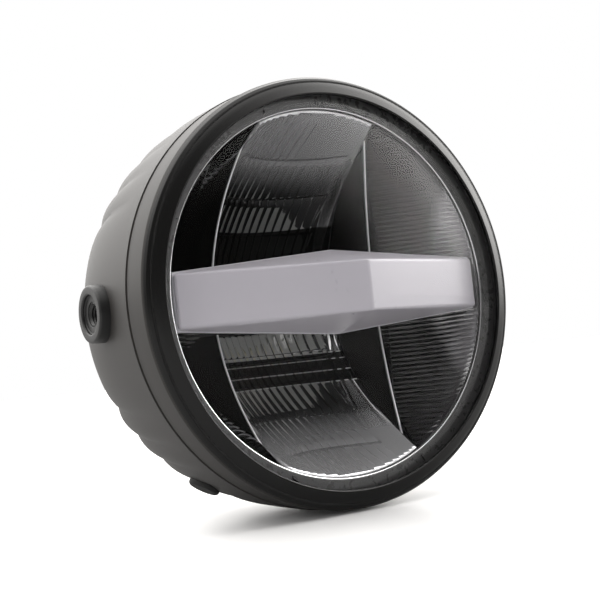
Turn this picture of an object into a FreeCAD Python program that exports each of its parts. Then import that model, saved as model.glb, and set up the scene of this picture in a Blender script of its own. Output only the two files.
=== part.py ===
import FreeCAD, Part
import math
import os

# Round side-mounted headlamp. All sizes are in millimetres.
# Frame: the lamp shines towards -Y, +Z is up and +X is to the right when seen from the front.
# Origin: on the lamp's axis, halfway between the two side mounting bushes, so X is the aiming axis.

V = FreeCAD.Vector

# ---- overall sizes ----
bezel_radius = 85.0            # widest circle of the bezel
bezel_widest_y = -39.6         # where that circle lies, ahead of the aiming axis
bush_proud = 4.1               # side bush beyond the housing's greatest radius
skirt_length = 13.0            # bezel behind its widest circle
shell_length = 89.5            # housing from its front shoulder to its flat rear face

# ---- bezel ----
bezel_face_width = 8.0         # from the widest circle in to the clear opening
bezel_lip_ahead = 4.2          # lip ahead of the widest circle
bezel_lip_thick = 1.9
bezel_edge_in = 1.5            # its sloping face ends this far inside the widest circle
bezel_edge_ahead = 1.3         # and this far ahead of it
bezel_edge_round = 1.2         # rounded outer edge behind that
bezel_lip_round = 0.7
bezel_crown = 0.4              # bow of the sloping face
bezel_wall = 2.2
shadow_gap = 0.6               # dark line between bezel and housing

# ---- lens and its seat ----
lens_flange_thick = 2.3
lens_wall = 2.6
lens_crown = 23.5              # dome height ahead of its flange
lens_lip_gap = 1.4             # dark groove between the lip and the foot of the dome
fit_gap = 0.2                  # radial clearance of parts that drop in
gasket_width = 3.0
gasket_thick = 1.6
trim_step_in = 4.0             # trim ring's opening inside the bezel's
trim_collar = 2.4              # thickness of the collar round the reflector rim
trim_collar_end = 2.0          # and at its back edge
trim_flange_thick = 2.4

# ---- reflector ----
bowl_gap = 0.34                # between the middle bowl's back and the rear plate
wing_focus_share = 1.257       # the wings' focal length over the middle reflectors'
reflector_wall = 1.8
divider_mid_share = 0.5479     # divider's front edge at mid height, over the rim radius
divider_top_share = 0.3836
divider_bottom_share = 0.4247
divider_reach_share = 0.9041   # height where the top and bottom shares hold
divider_overrun = 12.0         # its shape is carried on past the rim
divider_wall = 0.6             # where its prism starts
divider_draft_deg = 1.4        # its inner face leans in towards the back
divider_lead = 10.0            # its prism starts this far ahead of the widest circle
divider_span = 120.0           # length of the prism that shapes it
divider_mid_in = 29.0          # its front edge behind the rim at mid height
divider_end_in = 7.0           # and where the top and bottom shares hold
half_slot = 12.0               # half height of the slot between upper and lower reflectors

# ---- light bar ----
bar_rim_gap = 2.8              # bar's ends inside the reflector rim
bar_ridge_ahead = 19.5         # upright middle ridge ahead of the widest circle
bar_base_behind = 5.2
bar_end_half = 10.9            # half height of the base at the ends
bar_mid_half = 16.7            # half height of the base in the middle
bar_front_half = 9.7           # half height of the front faces
bar_end_ahead_of_base = 2.0
bar_wall = 2.4
tray_thick = 3.0
bar_board_thick = 1.6
bar_board_half = 5.0           # half height of its board
bar_board_end_gap = 6.0        # the board stops this far short of the cover's ends
bar_chip_end_gap = 10.0        # and the outer chips' centres this far

# ---- light engine ----
carrier_half_width = 30.0
carrier_half_thick = 4.0
board_thick = 1.6
board_screw_x = 15.0
beam_board_half_width = 20.0
beam_board_length = 30.0
low_beam_chips = 3
high_beam_chips = 2
bar_chips = 14
chip_size = 3.4
chip_height = 1.0
chip_pitch = 6.0
sink_radius = 45.0
sink_thick = 3.0
post_reach = 15.9              # rear plate's front ahead of the housing's rear face
driver_radius = 27.0
driver_stand = 2.0
stand_radius = 2.5
stand_circle = 20.0
stand_count = 3

# ---- housing ----
shell_step_out = 0.4           # housing proud of the bezel
shell_wall = 2.8
spigot_wall = 3.0
spigot_root = 3.0              # how far the spigot runs back inside the housing
rear_face_share = 0.5035       # flat rear face over the housing's greatest radius
shell_fall_power = 3.2         # how late the housing starts to narrow towards the rear
shell_shoulder_power = 0.62    # how round its rear shoulder is
rear_wall = 7.0
valley_start_deg = 28.0        # first valley above and below each side bush
valley_count = 14
valley_depth = 1.7
valley_start_share = 0.08      # share of the housing's length where the valleys begin
valley_grow_share = 0.5        # share over which they deepen
side_lobe_flat = 0.45          # flat middle of the broad lobe round each bush, as a share of its half
post_radius = 4.0
post_root = 0.5                # post sunk into the rear wall
post_inset = 5.5               # post circle inside the rear face's edge

# ---- rear cover ----
cover_radius = 34.0
cover_ledge = 6.5              # width of the ledge its seal sits on
cover_screw_inset = 3.4        # screw circle inside the cover's edge
cover_thick = 3.0
cover_seat_gap = 0.3
seal_thick = 0.8
screw_count = 4
screw_radius = 1.6
screw_head_radius = 3.0
screw_head_height = 1.8
screw_bite = 4.0               # thread length in a post
drive_length = 3.4             # cross recess in a screw head
drive_width = 0.8
drive_depth = 0.9

# ---- side bushes ----
bush_radius = 11.1
bush_rim_width = 3.6
bush_recess = 1.5
bush_edge_round = 0.9
bush_well_wall = 2.5           # housing's wall round the bush
bush_well_cover = 4.0          # that wall ends this far inside the housing's side
bush_depth = 17.0
thread_radius = 3.4            # wall of the M8 tapped hole at its crests
thread_length = 12.0
thread_mouth_radius = 4.5

# ---- rear outlet, vent and feet ----
grommet_radius = 7.0
grommet_flange_radius = 9.0
grommet_reach = 5.0
grommet_lip = 1.5              # its flange, and its end inside the cover
cable_hole_radius = 3.4
grommet_down = 14.0
vent_radius = 6.0
vent_height = 3.0
vent_stem_radius = 3.0
vent_edge_round = 1.0
vent_up = 14.0
foot_angle_deg = 57.0          # below each bush, around the housing
foot_behind = 44.0
foot_radius = 6.5
foot_proud = 1.8
foot_edge_round = 1.4

long_y = 300.0                 # longer than anything it cuts


def station(behind):
    """Y of a plane given as a distance behind the bezel's widest circle."""
    return bezel_widest_y + behind


def profile_point(radius, behind):
    return V(radius, station(behind), 0)


def line_edges(points):
    edges = []
    for first, second in zip(points, points[1:]):
        edges.append(Part.makeLine(first, second))
    return edges


def turned(edges):
    """Solid turned about the lamp axis from a closed outline."""
    face = Part.Face(Part.Wire(edges))
    return face.revolve(V(0, 0, 0), V(0, 1, 0), 360)


def turned_polygon(pairs):
    """Solid turned about the lamp axis from (radius, distance behind) corners."""
    points = [profile_point(radius, behind) for radius, behind in pairs]
    points.append(points[0])
    return turned(line_edges(points))


def smooth_edge(points):
    curve = Part.BSplineCurve()
    curve.interpolate(points)
    return curve.toShape()


def ring(inner, outer, front, back):
    return turned_polygon([(inner, front), (outer, front), (outer, back), (inner, back)])


def disc(radius, front, back):
    """Round plate across the lamp axis."""
    length = back - front
    return Part.makeCylinder(radius, length, V(0, station(front), 0), V(0, 1, 0))


def box_between(x0, x1, behind0, behind1, z0, z1):
    corner = V(x0, station(behind0), z0)
    return Part.makeBox(x1 - x0, behind1 - behind0, z1 - z0, corner)


def mirrored_z(shape):
    return shape.mirror(V(0, 0, 0), V(0, 0, 1))


def group(solids):
    return Part.makeCompound(solids)


# ---- radii that follow from the bezel ----
bezel_lip_radius = bezel_radius - bezel_face_width
lens_dome_radius = bezel_lip_radius - lens_lip_gap
trim_inner_radius = bezel_lip_radius - trim_step_in
rim_radius = trim_inner_radius
bar_half_width = rim_radius - bar_rim_gap
shell_radius = bezel_radius + shell_step_out
mount_face_x = shell_radius + bush_proud
rear_face_radius = shell_radius * rear_face_share
post_circle = rear_face_radius - post_inset
rear_hole_radius = cover_radius - cover_ledge
cover_screw_circle = cover_radius - cover_screw_inset

# ---- stack of planes behind the widest circle ----
lip_back = bezel_lip_thick - bezel_lip_ahead
flange_front = lip_back
flange_back = flange_front + lens_flange_thick
gasket_back = flange_back + gasket_thick
trim_back = gasket_back + trim_flange_thick
rim_behind = trim_back
shoulder = skirt_length + shadow_gap
rear_face = shoulder + shell_length
spigot_radius = bezel_radius - bezel_wall - fit_gap
flange_radius = spigot_radius - fit_gap
spigot_inner = spigot_radius - spigot_wall
cover_front = rear_face - cover_thick
sink_behind = rear_face - post_reach
sink_back = sink_behind + sink_thick
rear_wall_front = rear_face - rear_wall
divider_mid_behind = rim_behind + divider_mid_in
divider_end_behind = rim_behind + divider_end_in

# ---- optics and dividers that follow from them ----
centre_bowl_end = sink_behind - bowl_gap - reflector_wall
centre_focus = rim_radius ** 2 / (4 * (centre_bowl_end - rim_behind))
wing_focus = centre_focus * wing_focus_share
focus_behind = centre_bowl_end - centre_focus
divider_mid_x = rim_radius * divider_mid_share
divider_top_x = rim_radius * divider_top_share
divider_bottom_x = rim_radius * divider_bottom_share
divider_reach_z = rim_radius * divider_reach_share


def bezel_ring():
    """Ring with a sloping front, a rounded edge and a skirt over the housing."""
    lip = bezel_lip_radius
    outer = bezel_radius
    inner = bezel_radius - bezel_wall
    front = -bezel_lip_ahead
    diagonal = bezel_lip_round * (1 - math.sqrt(0.5))
    lip_low = profile_point(lip, front + bezel_lip_round)
    lip_corner = profile_point(lip + diagonal, front + diagonal)
    lip_top = profile_point(lip + bezel_lip_round, front)
    face_end = profile_point(outer - bezel_edge_in, -bezel_edge_ahead)
    face_middle = profile_point((lip + bezel_lip_round + outer - bezel_edge_in) / 2,
                                (front - bezel_edge_ahead) / 2 - bezel_crown)
    edge_middle = profile_point(outer - bezel_edge_in * 0.3, -bezel_edge_ahead * 0.3)
    edge_end = profile_point(outer, bezel_edge_round)
    edges = line_edges([profile_point(inner, lip_back), profile_point(lip, lip_back), lip_low])
    edges.append(Part.Arc(lip_low, lip_corner, lip_top).toShape())
    edges.append(Part.Arc(lip_top, face_middle, face_end).toShape())
    edges.append(Part.Arc(face_end, edge_middle, edge_end).toShape())
    edges += line_edges([edge_end, profile_point(outer, skirt_length), profile_point(inner, skirt_length),
                         profile_point(inner, lip_back)])
    return turned(edges)


def dome_curve(foot_radius_mm, foot_behind_mm, crown_mm):
    """Arc from the axis out to the foot of a spherical dome."""
    sphere = (foot_radius_mm ** 2 + crown_mm ** 2) / (2 * crown_mm)
    top_behind = foot_behind_mm - crown_mm
    half = foot_radius_mm / 2
    half_behind = top_behind + sphere - math.sqrt(sphere ** 2 - half ** 2)
    return Part.Arc(profile_point(0, top_behind), profile_point(half, half_behind),
                    profile_point(foot_radius_mm, foot_behind_mm)).toShape()


def lens():
    """Clear dome with a flat flange trapped behind the bezel lip."""
    inner_foot = lens_dome_radius - lens_wall
    inner_crown = lens_crown - lens_wall + lens_flange_thick
    outer = dome_curve(lens_dome_radius, flange_front, lens_crown)
    inner = dome_curve(inner_foot, flange_back, inner_crown)
    top_out = profile_point(0, flange_front - lens_crown)
    top_in = profile_point(0, flange_back - inner_crown)
    corners = [profile_point(lens_dome_radius, flange_front), profile_point(flange_radius, flange_front),
               profile_point(flange_radius, flange_back), profile_point(inner_foot, flange_back)]
    edges = [outer] + line_edges(corners) + [inner, Part.makeLine(top_in, top_out)]
    return turned(Part.__sortEdges__(edges))


def lens_gasket():
    return ring(flange_radius - gasket_width, flange_radius, flange_back, gasket_back)


def trim_ring():
    """Dark carrier ring: a flange under the lens and a short collar round the reflector rim."""
    collar_back = rim_behind + reflector_wall
    return turned_polygon([
        (trim_inner_radius, gasket_back), (flange_radius, gasket_back), (flange_radius, trim_back),
        (trim_inner_radius + trim_collar, trim_back), (trim_inner_radius + trim_collar_end, collar_back),
        (trim_inner_radius, collar_back)])


def bowl_depth(focus, radius):
    """Distance behind the widest circle of a parabolic bowl that meets the rim."""
    return rim_behind + (rim_radius ** 2 - radius ** 2) / (4 * focus)


def bowl_radius_at(focus, behind):
    """Radius of the bowl's opening at a distance behind the widest circle."""
    return math.sqrt(rim_radius ** 2 - 4 * focus * (behind - rim_behind))


def bowl_points(focus, extra):
    radii = [rim_radius * step / 8 for step in range(9)]
    return [profile_point(radius, bowl_depth(focus, radius) + extra) for radius in radii]


def bowl_shell(focus):
    """Thin parabolic bowl, with a flat rim face."""
    front = bowl_points(focus, 0)
    back = bowl_points(focus, reflector_wall)
    edges = [smooth_edge(front), Part.makeLine(front[-1], back[-1]),
             smooth_edge(back), Part.makeLine(back[0], front[0])]
    return turned(Part.__sortEdges__(edges))


def bowl_inside(focus, extra):
    """Everything within the bowl, out to the rim, ahead of its surface."""
    surface = bowl_points(focus, extra)
    front_axis = profile_point(0, rim_behind - trim_flange_thick)
    front_rim = profile_point(rim_radius, rim_behind - trim_flange_thick)
    edges = [smooth_edge(surface), Part.makeLine(surface[-1], front_rim),
             Part.makeLine(front_rim, front_axis), Part.makeLine(front_axis, surface[0])]
    return turned(Part.__sortEdges__(edges))


def divider_wire(inset, behind):
    """Upright outline bowed like a pair of brackets, moved inwards by the inset."""
    reach = divider_reach_z + divider_overrun
    stretch = (reach / divider_reach_z) ** 2
    top_x = divider_mid_x - (divider_mid_x - divider_top_x) * stretch - inset
    bottom_x = divider_mid_x - (divider_mid_x - divider_bottom_x) * stretch - inset
    mid_x = divider_mid_x - inset
    y = station(behind)
    right = Part.Arc(V(top_x, y, reach), V(mid_x, y, 0), V(bottom_x, y, -reach)).toShape()
    left = Part.Arc(V(-bottom_x, y, -reach), V(-mid_x, y, 0), V(-top_x, y, reach)).toShape()
    bottom = Part.makeLine(V(bottom_x, y, -reach), V(-bottom_x, y, -reach))
    top = Part.makeLine(V(-top_x, y, reach), V(top_x, y, reach))
    return Part.Wire([right, bottom, left, top])


def between_dividers(inset, draft_deg):
    """Prism between the bowed dividers, narrowing towards the back by the draft angle."""
    start = -divider_lead
    lean = divider_span * math.tan(math.radians(draft_deg))
    outlines = [divider_wire(inset, start), divider_wire(inset + lean, start + divider_span)]
    return Part.makeLoft(outlines, True, True)


def inside_dividers():
    return between_dividers(divider_wall, divider_draft_deg)


def outside_line():
    return between_dividers(0, 0)


def upper_half():
    return Part.makeBox(long_y, long_y, long_y, V(-long_y / 2, -long_y / 2, half_slot))


def lower_half():
    return mirrored_z(upper_half())


def upper_reflector():
    """Middle reflector above the bar, between the dividers."""
    return bowl_shell(centre_focus).common(inside_dividers()).common(upper_half())


def lower_reflector():
    return bowl_shell(centre_focus).common(inside_dividers()).common(lower_half())


def wing_reflectors():
    """Shallower bowl outside the dividers, as its left and right pieces."""
    outside = bowl_shell(wing_focus).cut(outside_line())
    return sorted(outside.Solids, key=lambda solid: solid.CenterOfMass.x)


def behind_divider_edge():
    """Prism across the lamp behind the divider's hollow front edge."""
    reach = divider_reach_z + divider_overrun
    stretch = (reach / divider_reach_z) ** 2
    end_behind = divider_mid_behind - (divider_mid_behind - divider_end_behind) * stretch
    x = -long_y / 2
    back = station(divider_span)
    edge = Part.Arc(V(x, station(end_behind), -reach), V(x, station(divider_mid_behind), 0),
                    V(x, station(end_behind), reach)).toShape()
    top = Part.makeLine(V(x, station(end_behind), reach), V(x, back, reach))
    rear = Part.makeLine(V(x, back, reach), V(x, back, -reach))
    bottom = Part.makeLine(V(x, back, -reach), V(x, station(end_behind), -reach))
    return Part.Face(Part.Wire([edge, top, rear, bottom])).extrude(V(long_y, 0, 0))


def dividers():
    """Four upright walls between the middle reflectors and the wings."""
    wall = outside_line().cut(inside_dividers())
    wall = wall.common(bowl_inside(centre_focus, reflector_wall)).common(behind_divider_edge())
    named = {}
    for name, half in (("upper", upper_half()), ("lower", lower_half())):
        pair = sorted(wall.common(half).Solids, key=lambda solid: solid.CenterOfMass.x)
        named[name + "_left_divider"] = pair[0]
        named[name + "_right_divider"] = pair[-1]
    return named


def bar_outline(behind, half_width, end_half, mid_half):
    y = station(behind)
    points = [V(-half_width, y, end_half), V(0, y, mid_half), V(half_width, y, end_half),
              V(half_width, y, -end_half), V(0, y, -mid_half), V(-half_width, y, -end_half)]
    points.append(points[0])
    return Part.makePolygon(points)


def faceted(points, faces):
    """Solid from corner points and the corners of each flat face."""
    made = []
    for corners in faces:
        loop = [points[index] for index in corners]
        loop.append(loop[0])
        made.append(Part.Face(Part.makePolygon(loop)))
    return Part.makeSolid(Part.makeShell(made))


def bar_body(inset):
    """Bolt-shaped block: six-sided base, two front faces meeting in an upright ridge."""
    base = station(bar_base_behind)
    tip = station(bar_base_behind - bar_end_ahead_of_base + inset * 0.4)
    ridge = station(inset - bar_ridge_ahead)
    wide = bar_half_width - inset
    low = bar_end_half - inset
    tall = bar_mid_half - inset
    front = bar_front_half - inset
    points = []
    for side in (1, -1):
        points += [V(-wide, base, low * side), V(0, base, tall * side), V(wide, base, low * side)]
        points += [V(-wide, tip, front * side), V(0, ridge, front * side), V(wide, tip, front * side)]
    faces = [(0, 1, 2, 8, 7, 6), (3, 4, 10, 9), (4, 5, 11, 10)]
    faces += [(0, 3, 9, 6), (2, 8, 11, 5)]
    for low_index in (0, 6):
        faces += [(low_index, low_index + 1, low_index + 4), (low_index, low_index + 4, low_index + 3)]
        faces += [(low_index + 1, low_index + 2, low_index + 4),
                  (low_index + 2, low_index + 5, low_index + 4)]
    return faceted(points, faces)


def light_bar_cover():
    """Opal cover, open behind."""
    hollow = bar_body(bar_wall)
    return bar_body(0).cut(hollow)


def light_bar_tray():
    """Backing plate that closes the cover; its ends reach out to the wings."""
    back = bar_base_behind + tray_thick
    outline = Part.Face(bar_outline(bar_base_behind, bar_half_width, bar_end_half, bar_mid_half))
    plate = outline.extrude(V(0, tray_thick, 0))
    ear_high = bar_end_half * 0.6
    reach = bowl_radius_at(wing_focus, back) - fit_gap
    ears = box_between(-reach, reach, bar_base_behind, back, -ear_high, ear_high)
    ears = ears.common(disc(reach, bar_base_behind - 1, back + 1))
    return plate.fuse(ears).removeSplitter()


def light_bar_board():
    """Long narrow board in the cover, against the tray."""
    half = bar_half_width - bar_wall - bar_board_end_gap
    return box_between(-half, half, bar_base_behind - bar_board_thick, bar_base_behind,
                       -bar_board_half, bar_board_half)


def light_bar_leds():
    chips = []
    count = bar_chips
    front = bar_base_behind - bar_board_thick - chip_height
    reach = bar_half_width - bar_wall - bar_chip_end_gap
    for index in range(count):
        x = -reach + 2 * reach * index / (count - 1)
        chips.append(box_between(x - chip_size / 2, x + chip_size / 2, front, front + chip_height,
                                 -chip_size / 2, chip_size / 2))
    return group(chips)


def led_carrier():
    """Cooling plate from the bar's tray back to the rear plate, with the rear plate and its fins."""
    tray_back = bar_base_behind + tray_thick
    blade = box_between(-carrier_half_width, carrier_half_width, tray_back, sink_behind,
                        -carrier_half_thick, carrier_half_thick)
    plate = disc(sink_radius, sink_behind, sink_back)
    body = blade.fuse(plate)
    for index in range(stand_count):
        centre = ring_point(stand_circle, sink_back, 90 + 360 / stand_count * index)
        body = body.fuse(Part.makeCylinder(stand_radius, driver_stand, centre, V(0, 1, 0)))
    for index in range(screw_count):
        hole = post_place(index, sink_behind - 1)
        body = body.cut(Part.makeCylinder(screw_radius, sink_thick + 2, hole, V(0, 1, 0)))
    return body.removeSplitter()


def post_place(index, behind):
    angle = math.radians(45 + 360 / screw_count * index)
    return V(post_circle * math.cos(angle), station(behind), post_circle * math.sin(angle))


def pan_screw(place, direction, length):
    """Round-headed screw; place is under its head and direction points along its shank."""
    shank = Part.makeCylinder(screw_radius, length, place, direction)
    head = Part.makeCylinder(screw_head_radius, screw_head_height, place - direction * screw_head_height,
                             direction)
    half_long = drive_length / 2
    half_wide = drive_width / 2
    low = V(-half_wide, -screw_head_height, -half_long)
    flat = V(-half_long, -screw_head_height, -half_wide)
    slot = Part.makeBox(drive_width, screw_head_height, drive_length, low)
    cross = slot.fuse(Part.makeBox(drive_length, screw_head_height, drive_width, flat))
    cross.Placement = FreeCAD.Placement(place, FreeCAD.Rotation(V(0, 1, 0), direction))
    cross.translate(direction * -(screw_head_height - drive_depth))
    return shank.fuse(head).cut(cross)


def carrier_screws():
    """Screws through the rear plate into the housing's posts."""
    screws = []
    for index in range(screw_count):
        place = post_place(index, sink_behind)
        screws.append(pan_screw(place, V(0, 1, 0), sink_thick + screw_bite))
    return group(screws)


def beam_board():
    """Board on top of the cooling plate, with two screw holes."""
    front = focus_behind - beam_board_length / 2
    board = box_between(-beam_board_half_width, beam_board_half_width, front, front + beam_board_length,
                        carrier_half_thick, carrier_half_thick + board_thick)
    for side in (-1, 1):
        board = board.cut(Part.makeCylinder(screw_radius, board_thick + 2,
                                            V(side * board_screw_x, station(focus_behind), 3), V(0, 0, 1)))
    return board


def beam_leds(count):
    chips = []
    low = carrier_half_thick + board_thick
    for index in range(count):
        x = chip_pitch * (index - (count - 1) / 2)
        chips.append(box_between(x - chip_size / 2, x + chip_size / 2, focus_behind - chip_size / 2,
                                 focus_behind + chip_size / 2, low, low + chip_height))
    return group(chips)


def board_screws():
    screws = []
    low = carrier_half_thick + board_thick
    for side in (-1, 1):
        place = V(side * board_screw_x, station(focus_behind), low)
        screw = pan_screw(place, V(0, 0, -1), board_thick)
        screws.append(screw)
        screws.append(mirrored_z(screw))
    return group(screws)


def driver_board():
    return disc(driver_radius, sink_back + driver_stand, sink_back + driver_stand + board_thick)


def driver_parts():
    """Coil, two capacitors, a control chip and a plug socket on the driver board."""
    back = sink_back + driver_stand + board_thick
    y = station(back)
    coil = Part.makeCylinder(6, 4, V(-12, y, 6), V(0, 1, 0))
    first = Part.makeCylinder(3, 4.6, V(4, y, 13), V(0, 1, 0))
    second = Part.makeCylinder(3, 4.6, V(12, y, 9), V(0, 1, 0))
    chip = box_between(2, 10, back, back + 1.4, -5, 3)
    socket = box_between(-8, 6, back, back + 4.2, -18, -12)
    return group([coil, first, second, chip, socket])


def shell_radius_at(part_way):
    """Housing radius at a share of its length: straight in front, domed behind."""
    fall = part_way ** shell_fall_power
    return rear_face_radius + (shell_radius - rear_face_radius) * (1 - fall) ** shell_shoulder_power


def valley_depth_at(part_way):
    """Valleys begin near the front and reach full depth past the middle."""
    grow = (part_way - valley_start_share) / valley_grow_share
    return valley_depth * min(1.0, max(0.0, grow))


def valley_angles():
    """Valley directions around the lamp axis, measured from +X through +Z."""
    step = (180 - 2 * valley_start_deg) / (valley_count - 1)
    upper = [valley_start_deg + step * index for index in range(valley_count)]
    lower = [180 + angle for angle in upper]
    return upper + lower


def ring_point(radius, behind, angle_deg):
    angle = math.radians(angle_deg)
    return V(radius * math.cos(angle), station(behind), radius * math.sin(angle))


def lobed_outline(behind, crest, depth):
    """Closed outline of shallow arcs that meet in the valleys."""
    angles = valley_angles()
    edges = []
    valley = crest - depth
    for start, end in zip(angles, angles[1:] + [angles[0] + 360]):
        wide = end - start > 2 * valley_start_deg - 1
        middle = ring_point(crest, behind, (start + end) / 2)
        if wide:
            quarter = (start + end) / 2 - start
            near = ring_point(crest, behind, start + quarter * side_lobe_flat)
            far = ring_point(crest, behind, end - quarter * side_lobe_flat)
            curve = Part.BSplineCurve()
            curve.interpolate([ring_point(valley, behind, start), near, middle, far,
                               ring_point(valley, behind, end)])
            edges.append(curve.toShape())
        else:
            edges.append(Part.Arc(ring_point(valley, behind, start), middle,
                                  ring_point(valley, behind, end)).toShape())
    return Part.Wire(edges)


shell_steps = (0.0, 0.12, 0.28, 0.42, 0.54, 0.65, 0.75, 0.84, 0.91, 0.96, 1.0)


def shell_outside():
    outlines = []
    for share in shell_steps:
        behind = shoulder + shell_length * share
        outlines.append(lobed_outline(behind, shell_radius_at(share), valley_depth_at(share)))
    return Part.makeLoft(outlines, True, False)


def shell_hollow():
    """Turned space inside the housing, from the spigot to the rear wall."""
    points = []
    back_share = (rear_wall_front - shoulder) / shell_length
    for step in range(9):
        share = back_share * step / 8
        radius = shell_radius_at(share) - shell_wall - valley_depth_at(share)
        points.append(profile_point(radius, shoulder + shell_length * share))
    start = profile_point(spigot_inner, shoulder)
    front = profile_point(spigot_inner, trim_back)
    axis_front = profile_point(0, trim_back)
    axis_back = profile_point(0, rear_wall_front)
    edges = [smooth_edge(points)]
    edges += line_edges([points[-1], axis_back, axis_front, front, start, points[0]])
    return turned(Part.__sortEdges__(edges))


def housing_shell():
    """Lobed bucket with a spigot for the bezel, a rear seat for the cover and side holes for the bushes."""
    body = shell_outside().cut(shell_hollow())
    body = body.fuse(ring(spigot_inner, spigot_radius, trim_back, shoulder + spigot_root))
    body = body.fuse(ring(spigot_inner, shell_radius - 1, shoulder, shoulder + spigot_root))
    body = body.cut(disc(rear_hole_radius, rear_wall_front - 1, rear_face + 1))
    body = body.cut(disc(cover_radius + cover_seat_gap, cover_front - seal_thick, rear_face + 1))
    for index in range(screw_count):
        height = rear_wall_front - sink_back + post_root
        post = Part.makeCylinder(post_radius, height, post_place(index, sink_back), V(0, 1, 0))
        body = body.fuse(post)
        hole = Part.makeCylinder(screw_radius, screw_bite + fit_gap, post_place(index, sink_back),
                                 V(0, 1, 0))
        body = body.cut(hole)
    for index in range(screw_count):
        hole = Part.makeCylinder(screw_radius, 5, cover_screw_place(index, cover_front - 3), V(0, 1, 0))
        body = body.cut(hole)
    inner = mount_face_x - bush_depth
    for side in (-1, 1):
        well = Part.makeCylinder(bush_radius + bush_well_wall, shell_radius - inner - bush_well_cover,
                                 V(side * inner, 0, 0), V(side, 0, 0))
        body = body.fuse(well)
        hole = Part.makeCylinder(bush_radius, bush_depth + 2, V(side * inner, 0, 0), V(side, 0, 0))
        body = body.cut(hole)
    return body.removeSplitter()


def side_bush(side):
    """Bush with a raised rim and a tapped M8 hole, pointing outwards."""
    inner = mount_face_x - bush_depth
    out = V(side, 0, 0)
    body = Part.makeCylinder(bush_radius, bush_depth, V(side * inner, 0, 0), out)
    body = body.makeFillet(bush_edge_round, [edge for edge in body.Edges
                                 if abs(edge.CenterOfMass.x - side * mount_face_x) < 0.01])
    floor = mount_face_x - bush_recess
    recess_radius = bush_radius - bush_rim_width
    body = body.cut(Part.makeCylinder(recess_radius, bush_recess + 1, V(side * floor, 0, 0), out))
    chamfer = thread_mouth_radius - thread_radius
    mouth = Part.makeCone(thread_radius, thread_mouth_radius, chamfer,
                          V(side * (floor - chamfer), 0, 0), out)
    body = body.cut(mouth)
    start = floor - chamfer - thread_length
    body = body.cut(Part.makeCylinder(thread_radius, thread_length + chamfer, V(side * start, 0, 0), out))
    return body


def cover_screw_place(index, behind):
    angle = math.radians(360 / screw_count * index)
    return V(cover_screw_circle * math.cos(angle), station(behind), cover_screw_circle * math.sin(angle))


def rear_cover():
    """Round cover with holes for its screws, the outlet and the vent."""
    body = disc(cover_radius, cover_front, rear_face)
    for index in range(screw_count):
        place = cover_screw_place(index, cover_front - 1)
        body = body.cut(Part.makeCylinder(screw_radius, cover_thick + 2, place, V(0, 1, 0)))
        seat = cover_screw_place(index, rear_face - screw_head_height)
        body = body.cut(Part.makeCylinder(screw_head_radius + 0.3, cover_thick, seat, V(0, 1, 0)))
    body = body.cut(Part.makeCylinder(grommet_radius, cover_thick + 2,
                                      V(0, station(cover_front - 1), -grommet_down), V(0, 1, 0)))
    body = body.cut(Part.makeCylinder(vent_stem_radius, cover_thick + 2,
                                      V(0, station(cover_front - 1), vent_up), V(0, 1, 0)))
    return body


def cover_seal():
    body = ring(rear_hole_radius, cover_radius, cover_front - seal_thick, cover_front)
    for index in range(screw_count):
        place = cover_screw_place(index, cover_front - 2)
        body = body.cut(Part.makeCylinder(screw_radius, 4, place, V(0, 1, 0)))
    return body


def cover_screws():
    screws = []
    for index in range(screw_count):
        place = cover_screw_place(index, rear_face - screw_head_height)
        screws.append(pan_screw(place, V(0, -1, 0), cover_thick + seal_thick))
    return group(screws)


def cable_grommet():
    """Rubber outlet in the cover, with the hole its cable leaves by."""
    inner_end = V(0, station(cover_front - grommet_lip), -grommet_down)
    seat = V(0, station(rear_face), -grommet_down)
    length = grommet_lip + cover_thick + grommet_reach
    body = Part.makeCylinder(grommet_radius, length, inner_end, V(0, 1, 0))
    flange = Part.makeCylinder(grommet_flange_radius, grommet_lip, seat, V(0, 1, 0))
    body = body.fuse(flange).removeSplitter()
    hole = Part.makeCylinder(cable_hole_radius, length, inner_end, V(0, 1, 0))
    return body.cut(hole)


def vent_cap():
    """Breather: a low mushroom cap on a stem through the cover."""
    stem = Part.makeCylinder(vent_stem_radius, cover_thick + 0.5,
                             V(0, station(cover_front), vent_up), V(0, 1, 0))
    cap = Part.makeCylinder(vent_radius, vent_height, V(0, station(rear_face), vent_up), V(0, 1, 0))
    top = [edge for edge in cap.Edges if abs(edge.CenterOfMass.y - station(rear_face) - vent_height) < 0.01]
    cap = cap.makeFillet(vent_edge_round, top)
    return cap.fuse(stem).removeSplitter()


def rest_foot(side):
    """Small round foot, let into the underside of the housing."""
    angle = math.radians(foot_angle_deg)
    out = V(side * math.cos(angle), 0, -math.sin(angle))
    share = (foot_behind - shoulder) / shell_length
    seat = shell_radius_at(share) - valley_depth
    base = V(0, station(foot_behind), 0) + out * seat
    height = valley_depth + foot_proud
    body = Part.makeCylinder(foot_radius, height, base, out)
    tip = base + out * height
    rim = [edge for edge in body.Edges if edge.CenterOfMass.distanceToPoint(tip) < 0.01]
    return body.makeFillet(foot_edge_round, rim)


def with_foot_seats(body):
    for side in (-1, 1):
        body = body.cut(rest_foot(side))
    return body


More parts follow.
